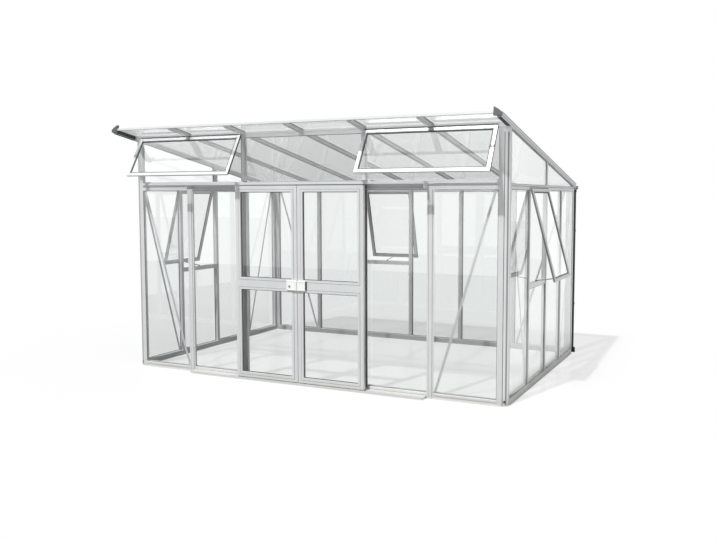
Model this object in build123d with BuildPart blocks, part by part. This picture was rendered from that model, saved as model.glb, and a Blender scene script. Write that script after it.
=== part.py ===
"""Aluminium and glass lean-to greenhouse with double sliding doors, clerestory windows and wall vents.

Frame: X runs along the front, Y to the back, Z up. The origin is on the ground, at the middle of
the doorway, in the plane of the front wall's glazing bars. All sizes are in millimetres.
"""

from build123d import *
from math import cos, radians, sin
import os

# --- Driving sizes -------------------------------------------------------------------------------

front_pitch = 735        # spacing of the glazing bars in the front, back and roof
side_pitch = 720         # spacing of the glazing bars in the end walls
corner_reach = 50        # from the last front grid line out to the corner post's side
side_margin = 30         # from the front and back faces to the first side grid line

base_height = 60         # base rail
base_depth = 60
foot_height = 4          # flange under the base rail
foot_reach = 12
threshold_height = 26    # low base rail in the doorway

transom_bottom = 2075    # underside of the transoms, over doors and wall panes
transom_height = 60      # front transom
side_transom_height = 50
sill_height = 25         # sill of the clerestory, on the front transom
sill_nose = 10           # how far it stands forward
sill_upstand = 12
upstand_setback = 24
clerestory_height = 485  # from its sill to the beam over it
head_height = 60         # from the beam's underside to the roof glass
eaves_height = 89        # from the back wall's panes to the roof glass

roof_overhang = 335
roof_side_reach = 20     # roof edge beyond the corner posts
roof_back_reach = 35     # roof glass beyond the back wall face
roof_bar_width = 44
roof_bar_depth = 30
roof_cap_width = 56
roof_cap_height = 4
verge_width = 45         # bars along the sloping roof ends
verge_depth = 48
verge_lip = 8            # how far they stand above the underside of the glass
edge_height = 22         # profile along the roof's front edge
edge_depth = 20
edge_lip = 5             # how far it stands above the underside of the glass
edge_cap_width = 78      # pointed caps at its ends
edge_cap_side = 6        # how far they stand out sideways
edge_cap_front = 6       # and forwards
edge_cap_drop = 38       # their lowest and highest edges from the underside of the glass
edge_cap_rise = 14
edge_cap_tip = 42
edge_cap_tip_width = 8
edge_cap_bevel = 24

bar_width = 44           # glazing bar
bar_depth = 42
bar_face = 58            # its outer face strip
face_thickness = 3
corner_strip = 50        # flat strips of the corner post, either side of its bevel
corner_bevel = 36
corner_wall = 44
post_face = 76           # front bars beside the sliding doors' tracks

glass_thickness = 4
glass_inset = 3          # glass behind the wall face
gable_tip_height = 30    # least height of the gable glass, at its low end
seat = 0.3               # gap where one fixed piece is seated on another
cut_margin = 1           # how far a cut runs past what it cuts

door_gap = 6             # between the closed leaves
door_lap = 45            # closed leaf beyond the middle of the bar beside the doorway
door_thickness = 38
door_standoff = 60       # leaf's back from the wall face
door_foot_gap = 8        # leaf over the bottom guide
door_head_gap = 16       # leaf under the top track
door_stile = 66
door_bottom_rail = 56
door_top_rail = 70
door_middle_rail = 132
door_middle_height = 1001

track_front_gap = 4      # top track's front wall from the leaf's face
track_hood_height = 18
track_lip = 10
track_wall = 4
ledge_drop = 57          # ledge that the wheels run on, under the hood
ledge_reach = 26
guide_bottom = 8         # bottom guide rail
guide_wall = 15
guide_slot = 20
guide_floor = 4
fin_thickness = 8
fin_length = 60
fin_clearance = 6
wheel_radius = 14
wheel_thickness = 10
wheel_gap = 7            # behind the wheel
wheel_inset = 18         # wheel's centre from the leaf's outer edge
inner_wheel_inset = 54   # the same from its inner edge
axle_radius = 4

handle_height = 104
handle_bottom = 1018
handle_thickness = 20
left_handle_length = 122
right_handle_length = 102

vent_side_gap = 10       # vent's width under the spacing of the bars
vent_length = 985
vent_angle = 15
vent_head_gap = 12       # vent's hinge under the level of the gutter's underside
vent_sill_height = 50
vent_lap = 3             # closed vent over its sill
side_vent_bay = 1        # bay with the vent, counted from the front with the first 0
back_vent_bay = 3        # the same from the right, as seen from inside
window_inset = 20        # clerestory window from the middle of the bar beside it
window_corner_gap = 5
window_foot_gap = 7      # closed window over its sill
window_angle = 30
window_head_gap = 13     # window's hinge under the roof bars
sash_width = 40
sash_thickness = 22

brace_width = 25
brace_thickness = 5
brace_inset = 25         # brace's middle from the post or bar at each end

gutter_width = 110
gutter_height = 44
gutter_wall = 3
gutter_top_gap = 3       # under the roof glass's edge
gutter_cap = 6
pipe_radius = 18
pipe_inset = 24          # pipe's centre in from the gutter's end
pipe_foot_height = 60
pipe_foot_length = 70
pipe_foot_margin = 4
pipe_foot_corner = 10

# --- Sizes that follow ---------------------------------------------------------------------------

half_width = 3 * front_pitch + corner_reach
depth = 4 * side_pitch + 2 * side_margin
corner_side = half_width - corner_strip - corner_reach
corner_back = corner_bevel + corner_strip
roof_half = half_width + roof_side_reach
front_grid = [index * front_pitch for index in range(-2, 3)]
side_grid = [side_margin + index * side_pitch for index in range(1, 4)]

nose_bottom = transom_bottom + transom_height
sill_top = nose_bottom + sill_height
head_bottom = sill_top + clerestory_height
roof_front_height = head_bottom + head_height      # underside of the glass, over the front face
roof_back_height = transom_bottom + eaves_height   # the same over the back wall's face
slope = (roof_front_height - roof_back_height) / depth
roof_angle_cos = 1 / (1 + slope * slope) ** 0.5
verge_drop = verge_depth / roof_angle_cos   # upright depth of the bars along the roof's ends
verge_clear = verge_drop + seat

gutter_top = roof_front_height - slope * (depth + gutter_width) - gutter_top_gap
gutter_bottom = gutter_top - gutter_height

vent_width = side_pitch - vent_side_gap
vent_hinge = gutter_bottom - vent_head_gap
vent_sill_top = vent_hinge - vent_length + vent_lap
vent_sill_bottom = vent_sill_top - vent_sill_height
window_hinge = roof_front_height - roof_bar_depth - window_head_gap
window_length = window_hinge - sill_top - window_foot_gap

front_wall = Plane(origin=(0, 0, 0), x_dir=(1, 0, 0), z_dir=(0, -1, 0))
back_wall = Plane(origin=(0, depth, 0), x_dir=(-1, 0, 0), z_dir=(0, 1, 0))
right_wall = Plane(origin=(half_width, 0, 0), x_dir=(0, 1, 0), z_dir=(1, 0, 0))
roof_plane = Plane(
    origin=(0, 0, roof_front_height),
    x_dir=(1, 0, 0),
    z_dir=(0, slope * roof_angle_cos, roof_angle_cos),
)


def roof_height(y):
    """Height of the underside of the roof glass above a distance from the front face."""
    return roof_front_height - slope * y


def along_slope(y):
    """Distance down the roof plane at a level distance from the front face."""
    return y / roof_angle_cos


def panel(plane, left, right, bottom, top, inside, outside=0):
    """Adds a box on a plane, from `inside` behind it to `outside` in front of it."""
    with BuildSketch(plane.offset(outside)) as outline:
        with Locations(((left + right) / 2, (bottom + top) / 2)):
            Rectangle(right - left, top - bottom)
    extrude(outline.sketch, amount=-(inside + outside))


def shape(plane, points, inside, outside=0):
    """Adds a prism with a straight-sided outline on a plane."""
    with BuildSketch(plane.offset(outside)) as outline:
        with BuildLine():
            Polyline(*points, close=True)
        make_face()
    extrude(outline.sketch, amount=-(inside + outside))


def glazing_bar(plane, position, bottom, top):
    """Adds an upright glazing bar with its wider outer face strip."""
    panel(plane, position - bar_width / 2, position + bar_width / 2, bottom, top, bar_depth)
    face_strip(plane, position, bar_face, bottom, top)


def face_strip(plane, position, width, bottom, top):
    """Adds the flat strip on a bar's outer face."""
    panel(plane, position - width / 2, position + width / 2, bottom, top, 0, face_thickness)


def bays(start, bars, end):
    """Gives the left and right edges of the openings between a wall's glazing bars."""
    lefts = [start] + [bar + bar_width / 2 for bar in bars]
    rights = [bar - bar_width / 2 for bar in bars] + [end]
    return list(zip(lefts, rights))


def pane(plane, left, right, bottom, top):
    """Adds a sheet of glass seated between the pieces around it."""
    panel(
        plane, left + seat, right - seat, bottom + seat, top - seat,
        glass_inset + glass_thickness, -glass_inset,
    )


def sash_plane(wall, centre, height, angle):
    """Plane of a top-hung sash that stands open, with its origin at the middle of its hinge."""
    lean = radians(angle)
    hinge = wall.from_local_coords(Vector(centre, height, face_thickness + seat))
    return Plane(
        origin=hinge,
        x_dir=wall.x_dir,
        z_dir=wall.z_dir * cos(lean) + Vector(0, 0, 1) * sin(lean),
    )


def sash_frame(plane, width, length):
    """Adds the four bars of a sash that hangs down from its plane's origin."""
    half = width / 2
    panel(plane, -half, -half + sash_width, -length, 0, 0, sash_thickness)
    panel(plane, half - sash_width, half, -length, 0, 0, sash_thickness)
    rail = half - sash_width - seat
    panel(plane, -rail, rail, -sash_width, 0, 0, sash_thickness)
    panel(plane, -rail, rail, -length, -length + sash_width, 0, sash_thickness)


def sash_pane(plane, width, length):
    """Adds the glass of a sash, halfway through its thickness."""
    half = width / 2 - sash_width - seat
    middle = sash_thickness / 2
    panel(
        plane, -half, half, -length + sash_width + seat, -sash_width - seat,
        glass_thickness / 2 - middle, middle + glass_thickness / 2,
    )


def brace(plane, top_position, foot_position, top, foot):
    """Adds a flat diagonal bar on the inner side of a wall, cut level at both ends."""
    run = foot_position - top_position
    rise = top - foot
    half = brace_width * (run * run + rise * rise) ** 0.5 / rise / 2
    points = [
        (top_position - half, top),
        (top_position + half, top),
        (foot_position + half, foot),
        (foot_position - half, foot),
    ]
    behind_glass = glass_inset + glass_thickness + seat
    shape(plane, points, behind_glass + brace_thickness, -behind_glass)


def roof_beam(near, far, bottom):
    """Adds a beam under the roof glass from end to end, notched for the bars and the posts."""
    between_verges = roof_half - verge_width - seat
    near_drop = max(bottom, roof_height(near) - verge_drop)
    far_drop = max(bottom, roof_height(far) - verge_drop)
    for half, low_near, low_far in (
        (corner_side, bottom, bottom),
        (between_verges, near_drop, far_drop),
    ):
        with BuildSketch(Plane.YZ.offset(-half)) as beam_outline:
            with BuildLine():
                Polyline(
                    (near, low_near),
                    (far, low_far),
                    (far, roof_height(far) - seat),
                    (near, roof_height(near) - seat),
                    close=True,
                )
            make_face()
        extrude(beam_outline.sketch, amount=2 * half)
    with BuildSketch(roof_plane) as notches:
        with Locations((0, along_slope((near + far) / 2))):
            with GridLocations(front_pitch, 0, len(front_grid), 1):
                Rectangle(roof_bar_width + 2 * seat, 4 * bar_depth)
    extrude(notches.sketch, amount=-(roof_bar_depth + seat), mode=Mode.SUBTRACT)


def save(builder, name):
    """Labels a finished piece and writes its file."""
    builder.part.label = name
    export_step(builder.part, "parts/" + name + ".step")


os.makedirs("parts", exist_ok=True)

# --- Base ----------------------------------------------------------------------------------------

def base_rail(plane, left, right, height):
    """Adds a rail at the foot of a wall, with a flange on the ground."""
    panel(plane, left, right, foot_height, height, base_depth)
    panel(plane, left, right, 0, foot_height, base_depth, foot_reach)


# Rails between the corner posts, low across the doorway.
with BuildPart() as base_rails:
    base_rail(front_wall, front_pitch, corner_side, base_height)
    base_rail(right_wall, corner_back, depth - corner_back, base_height)
    mirror(about=Plane.YZ)
    base_rail(back_wall, -corner_side, corner_side, base_height)
save(base_rails, "base_rails")

with BuildPart() as threshold:
    base_rail(front_wall, seat - front_pitch, front_pitch - seat, threshold_height)
save(threshold, "threshold")

# --- Corner posts --------------------------------------------------------------------------------

# Each is an angle with a bevelled outer corner, from the ground to the bars of the roof.
with BuildPart() as corner_posts:
    with BuildSketch(Plane.XY) as corner_outline:
        with BuildLine():
            Polyline(
                (corner_side, 0),
                (half_width - corner_reach, 0),
                (half_width, corner_bevel),
                (half_width, corner_back),
                (half_width - corner_wall, corner_back),
                (half_width - corner_wall, corner_wall),
                (corner_side, corner_wall),
                close=True,
            )
        make_face()
    extrude(amount=roof_front_height)
    mirror(about=Plane.XZ.offset(-depth / 2))
    with BuildSketch(Plane.YZ.offset(corner_side - cut_margin)) as above_roof:
        near = -cut_margin
        far = depth + cut_margin
        with BuildLine():
            Polyline(
                (near, roof_height(near) - verge_clear),
                (far, roof_height(far) - verge_clear),
                (far, roof_front_height + cut_margin),
                (near, roof_front_height + cut_margin),
                close=True,
            )
        make_face()
    extrude(amount=half_width - corner_side + 2 * cut_margin, mode=Mode.SUBTRACT)
    mirror(about=Plane.YZ)
save(corner_posts, "corner_posts")

# --- Front wall ----------------------------------------------------------------------------------

# The outer bars' wider strips run down over the base rail.
with BuildPart() as front_bars:
    glazing_bar(front_wall, front_pitch, base_height, transom_bottom)
    glazing_bar(front_wall, 2 * front_pitch, base_height, transom_bottom)
    face_strip(front_wall, 2 * front_pitch, post_face, foot_height, transom_bottom)
    mirror(about=Plane.YZ)
save(front_bars, "front_bars")

with BuildPart() as clerestory_bars:
    glazing_bar(front_wall, front_pitch, sill_top + sill_upstand, head_bottom)
    mirror(about=Plane.YZ)
save(clerestory_bars, "clerestory_bars")

with BuildPart() as front_transom:
    panel(front_wall, -corner_side, corner_side, transom_bottom, nose_bottom, bar_depth)
save(front_transom, "front_transom")

# The sill stands forward in the outer bays; between them the door track takes its place.
track_half = 2 * front_pitch + bar_face / 2
with BuildPart() as clerestory_sill:
    panel(front_wall, -corner_side, corner_side, nose_bottom, sill_top, bar_depth)
    panel(
        front_wall, -corner_side, corner_side, sill_top, sill_top + sill_upstand,
        bar_depth, -upstand_setback,
    )
    panel(front_wall, track_half, corner_side, nose_bottom, sill_top, 0, sill_nose)
    panel(front_wall, -corner_side, -track_half, nose_bottom, sill_top, 0, sill_nose)
save(clerestory_sill, "clerestory_sill")

with BuildPart() as head_beam:
    roof_beam(-face_thickness, bar_depth, head_bottom)
save(head_beam, "head_beam")

with BuildPart() as front_glass:
    for left, right in bays(-corner_side, front_grid, corner_side)[:2]:
        pane(front_wall, left, right, base_height, transom_bottom)
    mirror(about=Plane.YZ)
save(front_glass, "front_glass")

with BuildPart() as clerestory_glass:
    reach = front_pitch - bar_width / 2
    pane(front_wall, -reach, reach, sill_top, head_bottom)
save(clerestory_glass, "clerestory_glass")

# --- Back wall -----------------------------------------------------------------------------------

with BuildPart() as back_bars:
    for position in front_grid:
        glazing_bar(back_wall, position, base_height, transom_bottom)
save(back_bars, "back_bars")

with BuildPart() as eaves_beam:
    roof_beam(depth - bar_depth, depth + face_thickness, transom_bottom)
save(eaves_beam, "eaves_beam")

back_bays = bays(-corner_side, front_grid, corner_side)
with BuildPart() as back_glass:
    for bay, (left, right) in enumerate(back_bays):
        top = vent_sill_bottom if bay == back_vent_bay else transom_bottom
        pane(back_wall, left, right, base_height, top)
save(back_glass, "back_glass")

# --- End walls -----------------------------------------------------------------------------------

with BuildPart() as side_bars:
    for position in side_grid:
        glazing_bar(right_wall, position, base_height, transom_bottom)
    mirror(about=Plane.YZ)
save(side_bars, "side_bars")

with BuildPart() as side_transoms:
    panel(
        right_wall, corner_back, depth - corner_back,
        transom_bottom, transom_bottom + side_transom_height, bar_depth, face_thickness,
    )
    with BuildSketch(Plane.YZ.offset(half_width - bar_depth - cut_margin)) as above_verge:
        with BuildLine():
            Polyline(
                (0, roof_height(0) - verge_clear),
                (depth, roof_height(depth) - verge_clear),
                (depth, roof_front_height),
                (0, roof_front_height),
                close=True,
            )
        make_face()
    extrude(amount=bar_depth + face_thickness + 2 * cut_margin, mode=Mode.SUBTRACT)
    mirror(about=Plane.YZ)
save(side_transoms, "side_transoms")

gable_bottom = transom_bottom + side_transom_height
with BuildPart() as gable_bars:
    for width, inside, outside in ((bar_width, bar_depth, 0), (bar_face, 0, face_thickness)):
        near = side_grid[1] - width / 2
        far = side_grid[1] + width / 2
        points = [
            (near, gable_bottom),
            (far, gable_bottom),
            (far, roof_height(far) - verge_clear),
            (near, roof_height(near) - verge_clear),
        ]
        shape(right_wall, points, inside, outside)
    mirror(about=Plane.YZ)
save(gable_bars, "gable_bars")

side_bays = bays(corner_back, side_grid, depth - corner_back)
with BuildPart() as side_glass:
    for bay, (near, far) in enumerate(side_bays):
        top = vent_sill_bottom if bay == side_vent_bay else transom_bottom
        pane(right_wall, near, far, base_height, top)
    mirror(about=Plane.YZ)
save(side_glass, "side_glass")

with BuildPart() as gable_glass:
    tip = (roof_front_height - verge_clear - gable_bottom - gable_tip_height) / slope
    for start, end in bays(corner_back, side_grid[1:2], min(tip, depth - corner_back)):
        near = start + seat
        far = end - seat
        points = [
            (near, gable_bottom + seat),
            (far, gable_bottom + seat),
            (far, roof_height(far) - verge_clear - seat),
            (near, roof_height(near) - verge_clear - seat),
        ]
        shape(right_wall, points, glass_inset + glass_thickness, -glass_inset)
    mirror(about=Plane.YZ)
save(gable_glass, "gable_glass")

# --- Vents ---------------------------------------------------------------------------------------

side_vent_middle = sum(side_bays[side_vent_bay]) / 2
back_vent_middle = sum(back_bays[back_vent_bay]) / 2
right_vent_plane = sash_plane(right_wall, side_vent_middle, vent_hinge, vent_angle)
back_vent_plane = sash_plane(back_wall, back_vent_middle, vent_hinge, vent_angle)

with BuildPart() as wall_vent_frames:
    sash_frame(right_vent_plane, vent_width, vent_length)
    mirror(about=Plane.YZ)
    sash_frame(back_vent_plane, vent_width, vent_length)
save(wall_vent_frames, "wall_vent_frames")

with BuildPart() as wall_vent_glass:
    sash_pane(right_vent_plane, vent_width, vent_length)
    mirror(about=Plane.YZ)
    sash_pane(back_vent_plane, vent_width, vent_length)
save(wall_vent_glass, "wall_vent_glass")


def vent_sill(plane, bay):
    """Adds the sill under a vent, between two glazing bars."""
    left, right = bay
    panel(plane, left + seat, right - seat, vent_sill_bottom, vent_sill_top, bar_depth)


with BuildPart() as vent_sills:
    vent_sill(right_wall, side_bays[side_vent_bay])
    mirror(about=Plane.YZ)
    vent_sill(back_wall, back_bays[back_vent_bay])
save(vent_sills, "vent_sills")

window_inner_edge = front_pitch + window_inset
window_outer_edge = corner_side - window_corner_gap
window_middle = (window_inner_edge + window_outer_edge) / 2
window_width = window_outer_edge - window_inner_edge
window_plane = sash_plane(front_wall, window_middle, window_hinge, window_angle)

with BuildPart() as clerestory_window_frames:
    sash_frame(window_plane, window_width, window_length)
    mirror(about=Plane.YZ)
save(clerestory_window_frames, "clerestory_window_frames")

with BuildPart() as clerestory_window_glass:
    sash_pane(window_plane, window_width, window_length)
    mirror(about=Plane.YZ)
save(clerestory_window_glass, "clerestory_window_glass")

# --- Braces --------------------------------------------------------------------------------------

# Each runs from the top of a corner post to the foot of the next glazing bar.
brace_top = transom_bottom - seat
brace_foot = base_height + seat
front_brace_top = corner_side - brace_inset
front_brace_foot = 2 * front_pitch + bar_width / 2 + brace_inset
near_brace_foot = side_grid[0] - bar_width / 2 - brace_inset
far_brace_foot = side_grid[2] + bar_width / 2 + brace_inset
with BuildPart() as wall_braces:
    brace(front_wall, front_brace_top, front_brace_foot, brace_top, brace_foot)
    brace(back_wall, -front_brace_top, -front_brace_foot, brace_top, brace_foot)
    brace(right_wall, corner_back + brace_inset, near_brace_foot, brace_top, brace_foot)
    brace(right_wall, depth - corner_back - brace_inset, far_brace_foot, brace_top, brace_foot)
    mirror(about=Plane.YZ)
save(wall_braces, "wall_braces")

# --- Roof ----------------------------------------------------------------------------------------

roof_edge = along_slope(-roof_overhang)
roof_front = roof_edge + edge_depth + seat
roof_back = along_slope(depth)
glass_back = along_slope(depth + roof_back_reach)

with BuildPart() as roof_bars:
    for middle in front_grid:
        panel(
            roof_plane, middle - roof_bar_width / 2, middle + roof_bar_width / 2,
            roof_front, roof_back, roof_bar_depth,
        )
save(roof_bars, "roof_bars")

with BuildPart() as verge_bars:
    panel(
        roof_plane, roof_half - verge_width, roof_half,
        roof_front, roof_back, verge_depth, verge_lip,
    )
    mirror(about=Plane.YZ)
save(verge_bars, "verge_bars")

with BuildPart() as roof_glass:
    edges = [verge_width - roof_half, *front_grid, roof_half - verge_width]
    for left, right in zip(edges, edges[1:]):
        panel(
            roof_plane, left + 2 * seat, right - 2 * seat, roof_front, glass_back,
            -seat, seat + glass_thickness,
        )
save(roof_glass, "roof_glass")

with BuildPart() as roof_caps:
    cap_base = 2 * seat + glass_thickness
    for middle in front_grid:
        panel(
            roof_plane, middle - roof_cap_width / 2, middle + roof_cap_width / 2,
            roof_front, glass_back, -cap_base, cap_base + roof_cap_height,
        )
save(roof_caps, "roof_caps")

edge_cap_outer = roof_half + edge_cap_side
edge_cap_inner = edge_cap_outer - edge_cap_width
with BuildPart() as roof_front_edge:
    edge_half = edge_cap_inner - seat
    panel(
        roof_plane, -edge_half, edge_half, roof_edge, roof_edge + edge_depth,
        edge_height - edge_lip, edge_lip,
    )
save(roof_front_edge, "roof_front_edge")

edge_plane = Plane(
    origin=roof_plane.from_local_coords(Vector(0, roof_edge, 0)),
    x_dir=(1, 0, 0),
    z_dir=-roof_plane.y_dir,
)
with BuildPart() as roof_edge_caps:
    points = [
        (edge_cap_inner, -edge_cap_drop),
        (edge_cap_outer, -edge_cap_drop),
        (edge_cap_outer, edge_cap_rise - edge_cap_bevel),
        (edge_cap_outer - edge_cap_bevel, edge_cap_rise),
        (edge_cap_inner + edge_cap_tip_width, edge_cap_tip),
        (edge_cap_inner, edge_cap_tip),
    ]
    shape(edge_plane, points, edge_depth, edge_cap_front)
    mirror(about=Plane.YZ)
save(roof_edge_caps, "roof_edge_caps")

# --- Gutter and downpipe -------------------------------------------------------------------------

gutter_middle = depth + face_thickness + seat + gutter_width / 2
gutter_centre = gutter_top - gutter_height / 2
gutter_half = roof_half - gutter_cap - seat
with BuildPart() as gutter:
    with BuildSketch(Plane.YZ.offset(-gutter_half)) as gutter_outline:
        with Locations((gutter_middle, gutter_centre)):
            Rectangle(gutter_width, gutter_height)
        with Locations((gutter_middle, gutter_centre + gutter_wall)):
            Rectangle(gutter_width - 2 * gutter_wall, gutter_height, mode=Mode.SUBTRACT)
    extrude(amount=2 * gutter_half)
save(gutter, "gutter")

with BuildPart() as gutter_caps:
    with BuildSketch(Plane.YZ.offset(roof_half - gutter_cap)) as cap_face:
        with Locations((gutter_middle, gutter_centre)):
            Rectangle(gutter_width, gutter_height)
    extrude(amount=gutter_cap)
    mirror(about=Plane.YZ)
save(gutter_caps, "gutter_caps")

pipe_x = roof_half - gutter_cap - pipe_inset
pipe_top = gutter_bottom - seat
with BuildPart() as downpipe:
    with BuildSketch(Plane.XY.offset(pipe_foot_height)) as pipe_outline:
        with Locations((pipe_x, gutter_middle)):
            Circle(pipe_radius)
    extrude(amount=pipe_top - pipe_foot_height)
save(downpipe, "downpipe")

with BuildPart() as pipe_foot:
    with BuildSketch(Plane.XY) as foot_outline:
        with Locations((pipe_x, gutter_middle)):
            Rectangle(pipe_foot_length, 2 * (pipe_radius + pipe_foot_margin))
        fillet(foot_outline.vertices(), pipe_foot_corner)
    extrude(amount=pipe_foot_height - seat)
save(pipe_foot, "pipe_foot")

# --- Door tracks ---------------------------------------------------------------------------------

track_end = 2 * front_pitch - post_face / 2 - seat
track_start = Plane.YZ.offset(-track_end)
track_reach = door_standoff + door_thickness + track_front_gap + track_wall
track_underside = sill_top - track_hood_height
ledge_height = track_underside - ledge_drop
with BuildPart() as top_track:
    with BuildSketch(track_start) as track_outline:
        with BuildLine():
            Polyline(
                (0, ledge_height),
                (-ledge_reach, ledge_height),
                (-ledge_reach, ledge_height + track_wall),
                (-track_wall, ledge_height + track_wall),
                (-track_wall, track_underside),
                (-track_reach + track_wall, track_underside),
                (-track_reach + track_wall, track_underside - track_lip),
                (-track_reach, track_underside - track_lip),
                (-track_reach, sill_top),
                (0, sill_top),
                close=True,
            )
        make_face()
    extrude(amount=2 * track_end)
save(top_track, "top_track")

leaf_middle = door_standoff + door_thickness / 2
slot_floor = guide_bottom + guide_floor
with BuildPart() as bottom_guide:
    with BuildSketch(track_start) as guide_outline:
        slot_back = -leaf_middle + guide_slot / 2
        slot_front = -leaf_middle - guide_slot / 2
        guide_front = slot_front - guide_wall
        with BuildLine():
            Polyline(
                (0, guide_bottom),
                (0, threshold_height),
                (slot_back, threshold_height),
                (slot_back, slot_floor),
                (slot_front, slot_floor),
                (slot_front, threshold_height),
                (guide_front, threshold_height),
                (guide_front, guide_bottom),
                close=True,
            )
        make_face()
    extrude(amount=2 * track_end)
save(bottom_guide, "bottom_guide")

# --- Sliding doors -------------------------------------------------------------------------------

door_inner = door_gap / 2
door_outer = front_pitch + door_lap
door_front = door_standoff + door_thickness
door_bottom = threshold_height + door_foot_gap
door_top = track_underside - door_head_gap
middle_top = door_middle_height + door_middle_rail
lower_pane_bottom = door_bottom + door_bottom_rail
upper_pane_top = door_top - door_top_rail


def leaf_bar(left, right, bottom, top):
    """Adds a bar of a leaf, as thick as the leaf."""
    panel(front_wall, left, right, bottom, top, -door_standoff, door_front)


def door_frame(inner, outer):
    """Adds the two stiles and three rails of a sliding leaf."""
    left = min(inner, outer)
    right = max(inner, outer)
    for start in (left, right - door_stile):
        leaf_bar(start, start + door_stile, door_bottom, door_top)
    rail_left = left + door_stile + seat
    rail_right = right - door_stile - seat
    for low, high in (
        (door_bottom, lower_pane_bottom),
        (door_middle_height, middle_top),
        (upper_pane_top, door_top),
    ):
        leaf_bar(rail_left, rail_right, low, high)


def door_panes(inner, outer):
    """Adds the leaf's lower and upper sheets of glass."""
    left = min(inner, outer) + door_stile + 2 * seat
    right = max(inner, outer) - door_stile - 2 * seat
    for low, high in ((lower_pane_bottom, door_middle_height), (middle_top, upper_pane_top)):
        panel(
            front_wall, left, right, low + seat, high - seat,
            glass_thickness / 2 - leaf_middle, leaf_middle + glass_thickness / 2,
        )


def door_runners(side):
    """Adds a leaf's wheels on the track's ledge, with their axles, and its fins in the guide."""
    wheel_back = track_wall + wheel_gap
    wheel_front = wheel_back + wheel_thickness
    wheel_height = ledge_height + track_wall + seat + wheel_radius
    for position in (door_inner + inner_wheel_inset, door_outer - wheel_inset):
        with BuildSketch(front_wall.offset(wheel_back)) as wheel:
            with Locations((side * position, wheel_height)):
                Circle(wheel_radius)
        extrude(wheel.sketch, amount=wheel_thickness)
        with BuildSketch(front_wall.offset(wheel_front)) as axle:
            with Locations((side * position, wheel_height)):
                Circle(axle_radius)
        extrude(axle.sketch, amount=door_standoff - wheel_front - seat)
    fin_back = leaf_middle - fin_thickness / 2
    for position in (door_inner + fin_length, door_outer - fin_length / 2):
        left = side * position - fin_length / 2
        panel(
            front_wall, left, left + fin_length, slot_floor + fin_clearance, door_bottom - seat,
            -fin_back, fin_back + fin_thickness,
        )


def door_handle(left, right):
    """Adds a flat handle on a leaf's outer side."""
    back = door_front + seat
    handle_top = handle_bottom + handle_height
    panel(front_wall, left, right, handle_bottom, handle_top, -back, back + handle_thickness)


with BuildPart() as left_door_frame:
    door_frame(-door_inner, -door_outer)
save(left_door_frame, "left_door_frame")

with BuildPart() as left_door_glass:
    door_panes(-door_inner, -door_outer)
save(left_door_glass, "left_door_glass")

with BuildPart() as left_door_runners:
    door_runners(-1)
save(left_door_runners, "left_door_runners")

with BuildPart() as right_door_frame:
    door_frame(door_inner, door_outer)
save(right_door_frame, "right_door_frame")

with BuildPart() as right_door_glass:
    door_panes(door_inner, door_outer)
save(right_door_glass, "right_door_glass")

with BuildPart() as right_door_runners:
    door_runners(1)
save(right_door_runners, "right_door_runners")

with BuildPart() as left_door_handle:
    door_handle(-door_inner - left_handle_length, -door_inner)
save(left_door_handle, "left_door_handle")

with BuildPart() as right_door_handle:
    door_handle(door_inner, door_inner + right_handle_length)
save(right_door_handle, "right_door_handle")
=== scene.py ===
"""Aluminium and glass greenhouse with sliding double doors: the dressed model.

Sizes are in metres. X runs along the front, Y to the back and Z up, with the origin on the ground
at the middle of the doorway.
"""

import bpy
import bmesh
from math import atan2, pi, radians
from mathutils import Matrix, Vector


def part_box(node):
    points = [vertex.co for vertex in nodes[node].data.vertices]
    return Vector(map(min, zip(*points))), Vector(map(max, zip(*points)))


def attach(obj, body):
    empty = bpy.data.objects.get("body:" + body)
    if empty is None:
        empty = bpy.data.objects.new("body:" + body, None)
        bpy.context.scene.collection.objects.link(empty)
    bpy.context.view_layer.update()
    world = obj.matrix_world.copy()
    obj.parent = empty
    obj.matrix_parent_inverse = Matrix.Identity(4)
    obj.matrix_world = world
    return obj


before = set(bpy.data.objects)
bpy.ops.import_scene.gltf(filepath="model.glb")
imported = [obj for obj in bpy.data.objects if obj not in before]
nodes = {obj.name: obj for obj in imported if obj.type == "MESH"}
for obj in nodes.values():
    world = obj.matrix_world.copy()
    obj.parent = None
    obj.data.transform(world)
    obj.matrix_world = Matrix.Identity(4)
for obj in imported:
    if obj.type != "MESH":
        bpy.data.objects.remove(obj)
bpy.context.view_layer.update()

# ---- Camera -------------------------------------------------------------------------------------
# A person's eye in front of the right-hand corner, with a normal lens. The slight shift keeps the
# house in the middle of the frame.
eye = bpy.data.cameras.new("eye")
eye.sensor_width = 36.0
eye.lens = 39.70
eye.shift_x = -0.0404
eye.shift_y = -0.0189
eye.clip_end = 300.0
viewer = bpy.data.objects.new("viewer", eye)
viewer.location = (4.359, -7.191, 2.007)
viewer.rotation_euler = (radians(85.656), 0.0, radians(25.065))
bpy.context.scene.collection.objects.link(viewer)
bpy.context.scene.camera = viewer
bpy.context.scene.view_settings.view_transform = "Standard"

# ---- Studio light -------------------------------------------------------------------------------
# A lamp and a broad softbox high in front, a little to the left, in an even white room. What
# mirrors the room sees tall soft panels with dimmer gaps, and satin metal sees it darker behind.
lamp_way = Vector((0.1336, 0.5358, -0.8338))
for name, energy, width in (("studio_lamp", 2.9, 1.6), ("studio_softbox", 1.1, 14.0)):
    light = bpy.data.lights.new(name, "SUN")
    light.energy = energy
    light.angle = radians(width)
    lamp = bpy.data.objects.new(name, light)
    lamp.rotation_euler = lamp_way.to_track_quat("-Z", "Y").to_euler()
    bpy.context.scene.collection.objects.link(lamp)

room = bpy.data.worlds.new("white_room")
bpy.context.scene.world = room
room.use_nodes = True
room.cycles.sampling_method = "NONE"


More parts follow.
